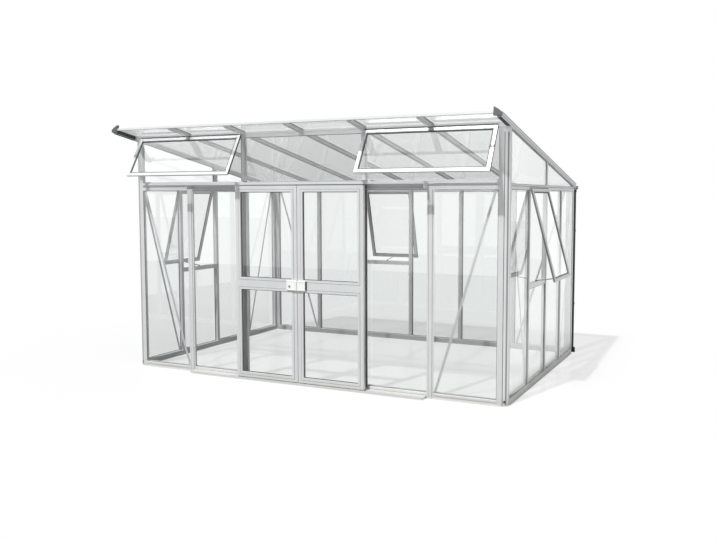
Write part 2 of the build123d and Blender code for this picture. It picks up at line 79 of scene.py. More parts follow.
def add(tree, kind, *values, pick=0, **settings):
    """Adds a node with its settings and its inputs in order, and gives one of its outputs."""
    node = tree.nodes.new("ShaderNode" + kind)
    for name, value in settings.items():
        if name in node.inputs:
            values = [*values, (name, value)]
        else:
            setattr(node, name, value)
    for place, value in enumerate(values):
        if isinstance(value, tuple) and isinstance(value[0], str):
            place, value = value
        if value is None:
            continue
        if isinstance(value, bpy.types.NodeSocket):
            tree.links.new(value, node.inputs[place])
        else:
            node.inputs[place].default_value = value
    return node.outputs[pick] if node.outputs else node


def ramp(tree, value, low, high, first, last):
    """Turns a value that runs from low to high into one that eases from first to last."""
    return add(tree, "MapRange", value, low, high, first, last, interpolation_type="SMOOTHSTEP")


def blank(tree):
    """Clears a node tree and gives it back."""
    tree.nodes.clear()
    return tree


def straight_view(tree):
    """Is 1 where a surface is seen from the camera, directly or through glass alone."""
    seen = add(tree, "Math", add(tree, "LightPath", pick="Is Camera Ray"),
               add(tree, "LightPath", pick="Is Transmission Ray"), operation="MAXIMUM")
    bounces = add(tree, "Math", add(tree, "LightPath", pick="Diffuse Depth"),
                  add(tree, "LightPath", pick="Glossy Depth"), operation="ADD")
    first = add(tree, "Math", bounces, 0.5, operation="LESS_THAN")
    return add(tree, "Math", seen, first, operation="MULTIPLY")


def mirror_view(tree):
    """Is 1 where a surface is seen in a reflection."""
    soft = add(tree, "LightPath", pick="Diffuse Depth")
    clear = add(tree, "Math", soft, 0.5, operation="LESS_THAN")
    mirrored = add(tree, "LightPath", pick="Is Glossy Ray")
    return add(tree, "Math", mirrored, clear, operation="MULTIPLY")


white = (1, 1, 1, 1)
panel_count = 22.0
front_way = (-0.35, -0.9, 0.3)
right_way = (1.0, 0.1, 0.1)
tree = blank(room.node_tree)
direction = add(tree, "TexCoord", pick="Generated")
split = add(tree, "SeparateXYZ", direction).node.outputs
turn = add(tree, "Math", split["Y"], split["X"], operation="ARCTAN2")
waves = add(tree, "Math", turn, panel_count, operation="MULTIPLY")
waves = add(tree, "Math", waves, operation="SINE")
front = add(tree, "VectorMath", direction, front_way, operation="DOT_PRODUCT", pick="Value")
front = ramp(tree, front, -0.6, 0.9, 0.0, 1.0)
right = add(tree, "VectorMath", direction, right_way, operation="DOT_PRODUCT", pick="Value")
right = ramp(tree, right, 0.0, 0.9, 0.0, 1.0)
gap = add(tree, "MapRange", front, 0.0, 1.0, 0.93, 0.72)
panels = ramp(tree, waves, -0.75, 0.1, gap, 1.0)
above = ramp(tree, split["Z"], 0.25, 0.6, 0.0, 1.1)
aside = ramp(tree, split["X"], 0.1, 0.4, 1.0, 1.6)
panels = add(tree, "Math", panels, aside, above, operation="MULTIPLY_ADD")
satin = add(tree, "Math", right, 0.55, add(tree, "MapRange", front, 0.0, 1.0, 0.3, 0.65),
            operation="MULTIPLY_ADD")
soft = add(tree, "Math", right, 0.8, add(tree, "MapRange", front, 0.0, 1.0, 0.13, 0.2),
           operation="MULTIPLY_ADD")
crisp = add(tree, "LightPath", pick="Is Singular Ray")
fill = add(tree, "Background", white, soft)
in_metal = add(tree, "Background", white, satin)
in_glass = add(tree, "Background", white, panels)
reflected = add(tree, "MixShader", crisp, in_metal, in_glass)
indirect = add(tree, "MixShader", mirror_view(tree), fill, reflected)
shown = add(tree, "MixShader", straight_view(tree), indirect, add(tree, "Background", white, 1.0))
add(tree, "OutputWorld", shown)

# ---- Studio floor -------------------------------------------------------------------------------
# A white floor with a faint sheen. It ends in front of the house, so the room beyond it shows low
# down in the glass, and it runs far back, so that no edge of it shows.
floor_width = 110.0
floor_front = -12.0
floor_back = 55.0
floor_height = -0.0006
bpy.ops.object.select_all(action="DESELECT")
bpy.ops.mesh.primitive_plane_add(
    size=1.0, location=(0.0, (floor_front + floor_back) / 2, floor_height),
)
floor = bpy.context.object
floor.name = "studio_floor"
floor.scale = (floor_width, floor_back - floor_front, 1.0)
bpy.ops.object.transform_apply(location=True, rotation=True, scale=True)

white_floor = bpy.data.materials.new("white_floor")
white_floor.use_nodes = True
white_floor.cycles.emission_sampling = "NONE"
tree = blank(white_floor.node_tree)
lit = add(tree, "AddShader", add(tree, "BsdfDiffuse", (0.24, 0.24, 0.243, 1)),
          add(tree, "Emission", white, 0.73))
sheen = add(tree, "BsdfGlossy", white, Roughness=0.22)
polished = add(tree, "MixShader", 0.10, lit, sheen)
bounce = add(tree, "BsdfDiffuse", (0.45, 0.45, 0.45, 1))
place = add(tree, "SeparateXYZ", add(tree, "TexCoord", pick="Object")).node.outputs
# What mirrors see of the floor is dim, lighter towards the back, and glows beside the house to the
# right whatever the lamps do: a painted reflection.
behind = add(tree, "MapRange", place["Y"], 0.0, 5.0, 0.12, 0.2)
beside = ramp(tree, place["X"], 2.25, 2.5, 0.0, 0.8)
dim = add(tree, "AddShader", add(tree, "BsdfDiffuse", behind),
          add(tree, "Emission", white, beside))
indirect = add(tree, "MixShader", mirror_view(tree), bounce, dim)
add(tree, "OutputMaterial", add(tree, "MixShader", straight_view(tree), indirect, polished))
floor.data.materials.append(white_floor)

# ---- Base rails ---------------------------------------------------------------------------------
# Aluminium extrusions with a satin natural anodised finish, screwed to the ground through a thin
# flange. The die leaves fine lines along each bar, and its lowest part holds a little dust.
light_metal = (0.74, 0.745, 0.75, 1)
dark_metal = (0.66, 0.665, 0.675, 1)
dust_colour = (0.48, 0.46, 0.42, 1)
dust_height = 0.14


def new_group(name, inputs, outputs):
    """Starts a shader node group with named inputs and outputs, and gives their sockets."""
    group = bpy.data.node_groups.new(name, "ShaderNodeTree")
    for label, kind in inputs:
        group.interface.new_socket(label, in_out="INPUT", socket_type="NodeSocket" + kind)
    for label, kind in outputs:
        group.interface.new_socket(label, in_out="OUTPUT", socket_type="NodeSocket" + kind)
    given = group.nodes.new("NodeGroupInput").outputs
    return group, given, group.nodes.new("NodeGroupOutput").inputs


ground_dust, given, result = new_group(
    "ground_dust", [("Place", "Vector"), ("Height", "Float")], [("Mask", "Float")],
)
high = add(ground_dust, "SeparateXYZ", given["Place"], pick="Z")
rise = add(ground_dust, "Math", high, given["Height"], operation="DIVIDE")
fade = ramp(ground_dust, rise, 0.0, 1.0, 0.75, 0.0)
specks = add(ground_dust, "TexNoise", given["Place"], Scale=42.0, Detail=4.0, Roughness=0.7)
mask = add(ground_dust, "Math", fade, specks, operation="MULTIPLY")
ground_dust.links.new(mask, result["Mask"])

die_lines, given, result = new_group(
    "die_lines", [("Lines", "Vector"), ("Place", "Vector")],
    [("Shade", "Float"), ("Height", "Float")],
)
fine = add(die_lines, "TexNoise", given["Lines"], Scale=1.0, Detail=3.0, Roughness=0.6)
cloud = add(die_lines, "TexNoise", given["Place"], Scale=2.3, Detail=4.0, Roughness=0.55)
both = add(die_lines, "Math", fine, 0.5, cloud, operation="MULTIPLY_ADD")
die_lines.links.new(add(die_lines, "MapRange", both, 0.55, 0.95), result["Shade"])
die_lines.links.new(fine, result["Height"])

uneven, given, result = new_group(
    "uneven", [("Place", "Vector"), ("Scale", "Float"), ("Detail", "Float"),
               ("Roughness", "Float")], [("Shade", "Float")],
)
noise = add(uneven, "TexNoise", given["Place"], Scale=given["Scale"], Detail=given["Detail"],
            Roughness=given["Roughness"])
uneven.links.new(noise, result["Shade"])


def new_material(name):
    """Starts a material, and gives it with its empty tree and the object coordinates."""
    material = bpy.data.materials.new(name)
    material.use_nodes = True
    tree = blank(material.node_tree)
    return material, tree, add(tree, "TexCoord", pick="Object")


def mixed(tree, share, first, second):
    """Mixes two colours by a share from 0 to 1."""
    sockets_of_other_kinds = [None] * 5
    return add(tree, "Mix", share, *sockets_of_other_kinds, first, second, data_type="RGBA", pick=2)


def satin_aluminium(name, stretch, tilt=0.0):
    """Makes anodised aluminium whose die lines run along the axis that is stretched least."""
    material, tree, place = new_material(name)
    lines = add(tree, "Mapping", place, Rotation=(tilt, 0.0, 0.0), Scale=stretch)
    surface = add(tree, "Group", lines, place, node_tree=die_lines).node.outputs
    dust = add(tree, "Group", place, dust_height, node_tree=ground_dust)
    colour = mixed(tree, dust, mixed(tree, surface["Shade"], dark_metal, light_metal), dust_colour)
    gloss = add(tree, "MapRange", surface["Shade"], 0.0, 1.0, 0.42, 0.34)
    dull = add(tree, "Math", dust, 0.6, gloss, operation="MULTIPLY_ADD")
    relief = add(tree, "Bump", Strength=0.12, Distance=0.0004, Height=surface["Height"])
    shader = add(tree, "BsdfPrincipled", colour, Metallic=0.25, Roughness=dull, Normal=relief)
    add(tree, "OutputMaterial", shader)
    return material


across_lines = 230.0
along_lines = 1.3
level_metal = satin_aluminium(
    "satin_aluminium_level", (along_lines, along_lines, across_lines),
)
upright_metal = satin_aluminium(
    "satin_aluminium_upright", (across_lines, across_lines, along_lines),
)


def finish(name, material):
    """Gives a frame node its material."""
    surface = nodes[name].data.materials
    surface.clear()
    surface.append(material)


finish("base_rails", level_metal)


def dress(piece, material, body, slot):
    """Gives a new piece its material and its body. The slot is not used."""
    piece.data.materials.clear()
    piece.data.materials.append(material)
    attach(piece, body)


def alone(piece):
    """Makes a piece the only one selected, and the active one."""
    bpy.ops.object.select_all(action="DESELECT")
    bpy.context.view_layer.objects.active = piece
    piece.select_set(True)


def open_mesh(piece):
    """Opens a piece in edit mode for work on its faces, with none of them selected."""
    alone(piece)
    bpy.ops.object.mode_set(mode="EDIT")
    bpy.context.tool_settings.mesh_select_mode = (False, False, True)
    bpy.ops.mesh.select_all(action="DESELECT")


def pick_faces(piece, wanted):
    """Selects the faces of an open mesh whose middle and normal are wanted, and no others."""
    bpy.ops.mesh.select_all(action="DESELECT")
    mesh = bmesh.from_edit_mesh(piece.data)
    for face in mesh.faces:
        face.select_set(wanted(face.calc_center_median(), face.normal))
    bmesh.update_edit_mesh(piece.data)


def pick_side(piece, *way):
    """Selects the faces of an open mesh that look one way, and no others."""
    pick_faces(piece, lambda middle, normal: normal.dot(Vector(way)) > 0.9)


def pull(x, y, z):
    """Extrudes the picked faces of the open mesh, and moves them."""
    bpy.ops.mesh.extrude_region_move(TRANSFORM_OT_translate={"value": (x, y, z)})


def cut(place, facing):
    """Cuts all of the open mesh along a plane at a place."""
    bpy.ops.mesh.select_all(action="SELECT")
    bpy.ops.mesh.bisect(plane_co=place, plane_no=facing)


def close_mesh(piece, bevel=0.0, segments=1):
    """Turns all faces outwards, leaves edit mode and rounds the sharp edges if asked."""
    bpy.ops.mesh.select_all(action="SELECT")
    bpy.ops.mesh.normals_make_consistent(inside=False)
    bpy.ops.object.mode_set(mode="OBJECT")
    if bevel:
        rounding = piece.modifiers.new("rounding", "BEVEL")
        rounding.width = bevel
        rounding.segments = segments
        rounding.limit_method = "ANGLE"
        rounding.angle_limit = radians(40)
        bpy.ops.object.modifier_apply(modifier="rounding")
    return piece


def fix_place(piece):
    """Puts the piece's place, turn and scale into its mesh."""
    alone(piece)
    bpy.ops.object.transform_apply(location=True, rotation=True, scale=True)
    return piece


def block(name, low, high):
    """Adds a block of bar stock between two corners, to be shaped."""
    bpy.ops.object.select_all(action="DESELECT")
    low, high = Vector(low), Vector(high)
    bpy.ops.mesh.primitive_cube_add(size=1.0, location=(low + high) / 2, scale=high - low)
    piece = bpy.context.object
    piece.name = name
    return fix_place(piece)


def round_bar(name, radius, low, high, sides=16):
    """Adds a round upright bar on the Z axis, to be shaped."""
    bpy.ops.object.select_all(action="DESELECT")
    bpy.ops.mesh.primitive_cylinder_add(
        vertices=sides, radius=radius, depth=high - low, location=(0.0, 0.0, (low + high) / 2),
    )
    piece = bpy.context.object
    piece.name = name
    return fix_place(piece)


def join(name, pieces):
    """Joins pieces into one, with its place in its mesh."""
    alone(pieces[0])
    for piece in pieces[1:]:
        piece.select_set(True)
    if len(pieces) > 1:
        bpy.ops.object.join()
    pieces[0].name = name
    return fix_place(pieces[0])


def repeat(name, model, places):
    """Copies a model to each place, joins the copies into one piece and removes the model."""
    copies = []
    for place in places:
        copy = model.copy()
        copy.data = model.data.copy()
        bpy.context.scene.collection.objects.link(copy)
        copy.matrix_world = place
        copies.append(copy)
    bpy.data.objects.remove(model)
    return join(name, copies)


def moved(way):
    """Gives the place this far from the origin."""
    return Matrix.Translation(way)


def turned(angle, axis):
    """Gives a turn about an axis at the origin."""
    return Matrix.Rotation(angle, 4, axis)


# The walls' own places: X along the wall, -Y out of it and Z up.
half_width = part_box("corner_posts")[1].x
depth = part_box("corner_posts")[1].y
half_depth = depth / 2
walls = {
    "front": Matrix.Identity(4),
    "right": moved((half_width, 0.0, 0.0)) @ turned(pi / 2, "Z"),
    "back": moved((0.0, depth, 0.0)) @ turned(pi, "Z"),
    "left": moved((-half_width, 0.0, 0.0)) @ turned(-pi / 2, "Z"),
}


def on_wall(wall, along, height, out=0.0):
    """Gives the place of a piece on a wall, measured along it, up and out of it."""
    return walls[wall] @ moved((along, -out, height))


def along_wall(wall, point):
    """Measures how far along a wall a point is."""
    return (walls[wall].inverted() @ Vector(point)).x


stainless, tree, place = new_material("stainless_screws")
grain = add(tree, "Group", place, 900.0, 2.0, 0.5, node_tree=uneven)
gloss = add(tree, "MapRange", grain, 0.3, 0.7, 0.28, 0.4)
steel = mixed(tree, grain, (0.42, 0.42, 0.43, 1), (0.58, 0.58, 0.57, 1))
add(tree, "OutputMaterial", add(tree, "BsdfPrincipled", steel, Metallic=0.8, Roughness=gloss))


def screw(radius, height):
    """Models one pan-head screw with a socket, facing out of the front wall."""
    piece = round_bar("screw", radius, 0.0, height, 12)
    open_mesh(piece)
    pick_side(piece, 0, 0, 1)
    bpy.ops.transform.resize(value=(0.8, 0.8, 1.0))
    bpy.ops.mesh.inset(thickness=radius * 0.35)
    pull(0.0, 0.0, -height * 0.6)
    close_mesh(piece)
    piece.rotation_euler = (pi / 2, 0.0, 0.0)
    return fix_place(piece)


# Lays an upright piece down towards the back, with its face up, or level along its wall.
laid_back = turned(-pi / 2, "X")
level = turned(pi / 2, "Y")

flange_out = -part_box("base_rails")[0].y
flange_top = 0.004
anchor_spacing = 0.49
anchors_from = 1.52
anchors = []
for wall, reach, middle in (("front", half_width, 0.0), ("back", half_width, 0.0),
                            ("right", half_depth, half_depth), ("left", half_depth, -half_depth)):
    count = round(2 * reach / anchor_spacing)
    for index in range(count):
        along = (index + 0.5) * 2 * reach / count - reach
        if wall != "front" or abs(along) > anchors_from:
            anchors.append(on_wall(wall, middle + along, flange_top, flange_out / 2) @ laid_back)
dress(repeat("base_anchors", screw(0.0045, 0.0025), anchors), stainless, "house", "aluminium")


def strip(name, length, width, height, groove=0.0, bevel=0.0008):
    """Models an upright strip with its back on the front wall, and a groove down its face."""
    piece = block(name, (-width / 2, -height, 0.0), (width / 2, 0.0, length))
    open_mesh(piece)
    for side in (-1, 1):
        cut((side * groove / 2, 0.0, 0.0), (1.0, 0.0, 0.0))
    if groove:
        pick_faces(piece, lambda middle, normal: normal.y < -0.9 and abs(middle.x) < groove / 2)
        pull(0.0, height * 0.5, 0.0)
    return close_mesh(piece, bevel=min(bevel, height / 3))


def strips(name, runs, width, height, material, body, slot, groove=0.0, bevel=0.0008):
    """Cuts a strip for each place and length, sets it there and joins them into one piece."""
    pieces = []
    for place, length in runs:
        piece = strip(name, length, width, height, groove, bevel)
        piece.matrix_world = place
        pieces.append(piece)
    dress(join(name, pieces), material, body, slot)


pitch = 0.735
post_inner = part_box("front_transom")[1].x
side_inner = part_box("side_transoms")[0].y
past_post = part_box("front_bars")[1].x + 0.001
before_post = 4 * pitch - past_post
beside_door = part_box("right_door_frame")[1].x + 0.010
nose_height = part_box("base_rails")[1].z - 0.017
nose_runs = []
for wall, start, end in (
    ("front", -post_inner, -past_post), ("front", -before_post, -beside_door),
    ("front", beside_door, before_post), ("front", past_post, post_inner),
    ("back", -post_inner, post_inner),
    ("right", side_inner, depth - side_inner), ("left", side_inner - depth, -side_inner),
):
    nose_runs.append((on_wall(wall, start, nose_height) @ level, end - start))
strips("base_rail_noses", nose_runs, 0.024, 0.005, level_metal, "house", "aluminium", bevel=0.002)

# ---- Threshold ----------------------------------------------------------------------------------
# A low ribbed rail across the doorway, so that a barrow can pass. The doors' guide rail, a grooved
# extrusion that their shoes run in, is screwed to the front of it and goes on to each side.
finish("threshold", level_metal)
finish("bottom_guide", level_metal)
sill_low, sill_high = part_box("threshold")
tread_count = 4
tread_inset = 0.004
tread_spacing = 0.013
first_tread = 0.006
tread_runs = []
for index in range(tread_count):
    spot = (sill_low.x + tread_inset, first_tread + index * tread_spacing, sill_high.z)
    tread = moved(spot) @ level @ turned(-pi / 2, "Z")
    tread_runs.append((tread, sill_high.x - sill_low.x - 2 * tread_inset))
strips("threshold_treads", tread_runs, 0.004, 0.0015, level_metal, "house", "aluminium")

# ---- Corner posts -------------------------------------------------------------------------------
# Hollow extrusions with a bevelled outer corner, in the same satin finish. Two dark rubber strips
# laid along the bevel stand for the shade in its two grooves: painted shade. A plug closes the
# drain at the foot.
finish("corner_posts", upright_metal)


def rubber_of(name, dark, light):
    """Makes a matt rubber with fine specks."""
    material, tree, place = new_material(name)
    specks = add(tree, "Group", place, 420.0, 4.0, 0.7, node_tree=uneven)
    tone = mixed(tree, specks, (dark, dark, dark * 1.04, 1), (light, light, light, 1))
    relief = add(tree, "Bump", Strength=0.3, Distance=0.0005, Height=specks)
    shader = add(tree, "BsdfPrincipled", tone, Roughness=0.62, Normal=relief)
    add(tree, "OutputMaterial", shader)
    return material


rubber = rubber_of("black_rubber", 0.035, 0.085)
grey_rubber = rubber_of("grey_rubber", 0.22, 0.30)
bevel_wide = 0.050
bevel_deep = 0.036
bevel_turn = atan2(bevel_deep, bevel_wide)
shade_strip_foot = 0.012
plug_height = 0.045
shade_strip_lengths = {"front": 2.60, "back": 2.11}
narrow_shade_runs, wide_shade_runs, plug_runs = [], [], []
for wall, mirrored in (("front", 1), ("front", -1), ("back", 1), ("back", -1)):
    corner = walls[wall] @ Matrix.Scale(mirrored, 4, (1.0, 0.0, 0.0))
    facing = walls[wall].to_3x3().to_4x4() @ turned(bevel_turn * mirrored, "Z")
    for runs, share, foot in ((narrow_shade_runs, 0.11, shade_strip_foot), (wide_shade_runs, 0.70, shade_strip_foot),
                              (plug_runs, 0.45, plug_height)):
        spot = (half_width - bevel_wide * (1 - share), bevel_deep * share, foot)
        place = moved(corner @ Vector(spot)) @ facing
        runs.append((place, shade_strip_lengths[wall]))
# The narrow black strip and the wide grey one paint the shade of the bevel's two grooves.
strips("corner_post_painted_shade", narrow_shade_runs, 0.006, 0.0008, rubber, "house", "black_plastic")
strips("corner_post_wide_painted_shade", wide_shade_runs, 0.017, 0.0008, grey_rubber, "house", "grey_plastic",
       groove=0.005)
plug = round_bar("drain_plug", 0.011, 0.0, 0.006, 20)
open_mesh(plug)
pick_side(plug, 0, 0, 1)
bpy.ops.mesh.inset(thickness=0.003)
pull(0.0, 0.0, -0.002)
close_mesh(plug)
plug.rotation_euler = (pi / 2, 0.0, 0.0)
plugs = repeat("drain_plugs", fix_place(plug), [place for place, _ in plug_runs])
dress(plugs, rubber, "house", "black_plastic")

# ---- Glazing bars -------------------------------------------------------------------------------
# T-shaped aluminium bars, screwed to the rails. A cover strip with a groove down its face, clipped
# on over a rubber bed, holds the panes from outside.
for name in ("front_bars", "clerestory_bars", "back_bars", "side_bars", "gable_bars"):
    finish(name, upright_metal)


def box_of(points):
    """Gives the lowest and the highest corner round some points."""
    axes = list(zip(*points))
    return Vector(map(min, axes)), Vector(map(max, axes))


def islands(mesh):
    """Gives the vertices of each separate solid of a mesh, its doubles merged."""
    bmesh.ops.remove_doubles(mesh, verts=mesh.verts, dist=0.0001)
    seen = set()
    for first in mesh.verts:
        if first in seen:
            continue
        found = [first]
        for vert in found:
            seen.add(vert)
            for edge in vert.link_edges:
                other = edge.other_vert(vert)
                if other not in seen:
                    seen.add(other)
                    found.append(other)
        yield found


def solids_of(name):
    """Gives the lowest and highest corners of each separate solid of a frame node."""
    mesh = bmesh.new()
    mesh.from_mesh(nodes[name].data)
    boxes = [box_of(vert.co for vert in verts) for verts in islands(mesh)]
    mesh.free()
    return sorted(boxes, key=lambda box: [round(value, 3) for value in (*box[0], *box[1])])


face_out = 0.003
bed_height = 0.0012
gable_cut = 0.012
for wall, node in (
    ("front", "front_bars"), ("front", "clerestory_bars"), ("back", "back_bars"),
    ("right", "side_bars"), ("left", "side_bars"), ("right", "gable_bars"), ("left", "gable_bars"),
):
    bed_runs, cover_runs = [], []
    for low, high in solids_of(node):
        if wall in ("right", "left") and (low.x > 0) != (wall == "right"):
            continue
        along = along_wall(wall, (low + high) / 2)
        length = high.z - low.z - (gable_cut if node == "gable_bars" else 0.0)
        bed_runs.append((on_wall(wall, along, low.z, face_out), length))
        cover_runs.append((on_wall(wall, along, low.z, face_out + bed_height), length))
    strips(wall + "_" + node + "_beds", bed_runs, 0.044, bed_height, grey_rubber, "house",
           "grey_plastic")
    strips(wall + "_" + node + "_covers", cover_runs, 0.036, 0.003, upright_metal, "house",
           "aluminium", groove=0.006)

# ---- Transoms and beams -------------------------------------------------------------------------
# Level extrusions that tie the bars together at the height of the doors and under the roof. A
# black rubber strip along each transom stands for the shade in a groove there: painted shade. A
# pale strip along the top of the head beam stands for a highlight there: a painted highlight. The
# sill and beam throw the water off.
for name in ("front_transom", "side_transoms", "clerestory_sill", "head_beam", "eaves_beam",
             "vent_sills"):
    finish(name, level_metal)


def plastic(name, colour, roughness):
    """Makes a moulded plastic with a fine grain, a little uneven in tone."""
    material, tree, place = new_material(name)
    grain = add(tree, "Group", place, 900.0, 2.0, 0.5, node_tree=uneven)
    cloud = add(tree, "Group", place, 14.0, 3.0, 0.5, node_tree=uneven)
    tone = mixed(tree, cloud, (*(0.92 * part for part in colour), 1), (*colour, 1))
    relief = add(tree, "Bump", Strength=0.2, Distance=0.0003, Height=grain)
    gloss = add(tree, "MapRange", cloud, 0.3, 0.7, roughness - 0.05, roughness + 0.05)
    shader = add(tree, "BsdfPrincipled", tone, Roughness=gloss, Normal=relief)
    add(tree, "OutputMaterial", shader)
    return material


white_plastic = plastic("white_moulded_plastic", (0.86, 0.86, 0.85), 0.35)
track_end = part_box("top_track")[1].x
beside_track = track_end + 0.004
groove_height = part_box("front_transom")[1].z - 0.020
side_groove_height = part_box("side_transoms")[1].z - 0.016
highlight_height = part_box("head_beam")[1].z - 0.011
drip_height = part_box("clerestory_sill")[0].z + 0.006
drip_out = 0.0095
# Black rubber strips along the transoms paint the shade of a groove.
groove_shade_runs = []
for start, end in ((-post_inner, -beside_track), (beside_track, post_inner)):
    groove_shade_runs.append((on_wall("front", start, groove_height) @ level, end - start))
for wall, start in (("right", side_inner), ("left", side_inner - depth)):
    groove_shade_place = on_wall(wall, start, side_groove_height, face_out) @ level
    groove_shade_runs.append((groove_shade_place, depth - 2 * side_inner))
strips("transom_painted_shade", groove_shade_runs, 0.004, 0.0008, rubber, "house", "black_plastic")
# A pale plastic strip along the top of the head beam paints a highlight there.
strip_spot = on_wall("front", -post_inner, highlight_height, face_out) @ level
strips("head_beam_painted_highlight", [(strip_spot, 2 * post_inner)], 0.016, 0.004, white_plastic, "house",
       "white_plastic", bevel=0.001)
drip = on_wall("front", -post_inner, drip_height, drip_out) @ level
strips("clerestory_sill_drip", [(drip, 2 * post_inner)], 0.010, 0.003, level_metal, "house",
       "aluminium", bevel=0.001)

# ---- Glass --------------------------------------------------------------------------------------
# Clear toughened glass, 4 mm thick, with a trace of green, a faint waviness and some dust low
# down. The roof's panes are laminated, and hold back more of the light than the walls' do.


def clear_glass(name, passing, index):
    """Makes clear glass. Each face lets this share of the light pass to what it covers, and
    mirrors as much as this index of refraction gives."""
    material, tree, place = new_material(name)
    ripple = add(tree, "Group", place, 1.6, 1.0, 0.5, node_tree=uneven)
    wavy = add(tree, "Bump", Strength=0.05, Distance=0.004, Height=ripple)
    dust = add(tree, "Group", place, 0.5, node_tree=ground_dust)
    tint = mixed(tree, dust, (0.945, 0.963, 0.957, 1), (0.90, 0.905, 0.89, 1))
    clear = add(tree, "BsdfPrincipled", tint, Roughness=0.0, IOR=index, Normal=wavy,
                **{"Transmission Weight": 1.0})
    shade = add(tree, "BsdfTransparent", (passing, passing * 1.006, passing * 1.004, 1))
    lamp_light = add(tree, "LightPath", pick="Is Shadow Ray")
    soft_light = add(tree, "LightPath", pick="Diffuse Depth")
    unseen = add(tree, "Math", lamp_light, soft_light, operation="ADD", use_clamp=True)
    add(tree, "OutputMaterial", add(tree, "MixShader", unseen, clear, shade))
    return material


wall_glass = clear_glass("clear_glass", 0.88, 1.6)
roof_glass = clear_glass("laminated_roof_glass", 0.66, 1.42)
for name in nodes:
    if name.endswith("glass"):
        finish(name, roof_glass if name == "roof_glass" else wall_glass)

# ---- Glazing gaskets ----------------------------------------------------------------------------
# Rubber sections pressed in round every pane, inside and outside, that seal it to the metal and
# hold it firm. They are grey on the fixed panes, and black on those of sashes and doors.


def gaskets(name, node, body, width, height, material, slot):
    """Lays a rubber ring along the edges of every pane of a glass node, on both of its faces."""
    largest_edge_face = 0.02
    rings = bpy.data.objects.new(name, nodes[node].data.copy())
    bpy.context.scene.collection.objects.link(rings)
    open_mesh(rings)
    bpy.ops.mesh.select_all(action="SELECT")
    bpy.ops.mesh.remove_doubles(threshold=0.0001)
    bpy.ops.mesh.dissolve_limited(angle_limit=radians(1))
    mesh = bmesh.from_edit_mesh(rings.data)
    for face in mesh.faces:
        face.select_set(face.calc_area() < largest_edge_face)
    bmesh.update_edit_mesh(rings.data)
    bpy.ops.mesh.delete(type="FACE")
    bpy.ops.mesh.select_all(action="SELECT")
    bpy.ops.mesh.inset(thickness=width, use_individual=True)
    bpy.ops.mesh.delete(type="FACE")
    bpy.ops.object.mode_set(mode="OBJECT")
    thickness = rings.modifiers.new("thickness", "SOLIDIFY")
    thickness.thickness = height
    thickness.offset = 1.0
    bpy.ops.object.modifier_apply(modifier="thickness")
    dress(rings, material, body, slot)


for node in ("front_glass", "clerestory_glass", "back_glass", "side_glass", "gable_glass"):
    gaskets(node + "_gaskets", node, "house", 0.005, 0.0026, grey_rubber, "grey_plastic")
for node in ("wall_vent_glass", "clerestory_window_glass"):
    gaskets(node + "_gaskets", node, "house", 0.007, 0.003, rubber, "black_plastic")
for side in ("left", "right"):
    gaskets(side + "_door_gaskets", side + "_door_glass", side + "_door", 0.006, 0.003, rubber,
            "black_plastic")

# ---- Clerestory windows and wall vents ----------------------------------------------------------
# Sashes of slim aluminium tube, screwed together at their corners, with rubber beads and edge
# seals. They hang from a long hinge, and a steel stay that hooks on to the sill holds each vent.
finish("clerestory_window_frames", level_metal)
finish("wall_vent_frames", upright_metal)
black_plastic = plastic("black_moulded_plastic", (0.022, 0.022, 0.024), 0.4)


def sash_places(name, wall_of):
    """Gives each hung sash's wall, its place with X across it, -Y out of it and Z up it from the
    middle of its top edge, and its width, thickness and length."""
    mesh = bmesh.new()
    mesh.from_mesh(nodes[name].data)
    bmesh.ops.remove_doubles(mesh, verts=mesh.verts, dist=0.0001)
    members = {}
    for vert in mesh.verts:
        members.setdefault((wall_of(vert.co), vert.co.x > 0), []).append(vert)
    places = []
    for (wall, _), verts in sorted(members.items(), key=lambda member: member[0]):
        facing = {}
        for face in dict.fromkeys(face for vert in verts for face in vert.link_faces):
            # The outer face of an open sash is its largest that looks a little upwards.
            if 0.05 < face.normal.z < 0.6:
                key = tuple(round(value, 2) for value in face.normal)
                facing[key] = facing.get(key, 0.0) + face.calc_area()
        inward = -Vector(max(facing, key=facing.get)).normalized()
        up = (Vector((0.0, 0.0, 1.0)) - inward * inward.z).normalized()
        turn = Matrix((inward.cross(up), inward, up)).transposed()
        low, high = box_of(turn.transposed() @ vert.co for vert in verts)
        middle = turn @ Vector(((low.x + high.x) / 2, low.y, high.z))
        places.append((wall, moved(middle) @ turn.to_4x4(), high - low))
    mesh.free()
    return places


def bridge_rims():
    """Joins the two rims of each opening of the open mesh with a wall of faces."""
    bpy.context.tool_settings.mesh_select_mode = (False, True, False)
    bpy.ops.mesh.select_all(action="DESELECT")
    bpy.ops.mesh.select_non_manifold()
    bpy.ops.mesh.bridge_edge_loops()
    bpy.context.tool_settings.mesh_select_mode = (False, False, True)


def ring(name, low, high, width):
    """Models a frame round an opening in the front wall's plane, from its outer corners."""
    piece = block(name, low, high)
    open_mesh(piece)
    pick_faces(piece, lambda middle, normal: abs(normal.y) > 0.9)
    bpy.ops.mesh.inset(thickness=width, use_individual=True)
    bpy.ops.mesh.delete(type="FACE")
    bridge_rims()
    return close_mesh(piece)


def flat_bar(name, start, end, across, width, thickness):
    """Models a flat bar between two points, its thickness across, with narrowed ends."""
    start, end = Vector(start), Vector(end)
    length = (end - start).length
    piece = block(name, (0.0, -thickness / 2, -width / 2), (length, thickness / 2, width / 2))
    open_mesh(piece)
    for side in (-1, 1):
        pick_side(piece, side, 0, 0)
        pull(side * width * 0.4, 0.0, 0.0)
        bpy.ops.transform.resize(value=(1.0, 1.0, 0.5))
    close_mesh(piece, bevel=thickness / 5)
    ahead = (end - start).normalized()
    aside = Vector(across).normalized()
    turn = Matrix((ahead, aside, ahead.cross(aside))).transposed().to_4x4()
    piece.matrix_world = moved(start) @ turn
    return fix_place(piece)


def wall_of_vent(spot):
    """Names the wall that a point of a vent belongs to."""
    if abs(spot.x) < half_width / 2:
        return "back"
    return "right" if spot.x > 0 else "left"


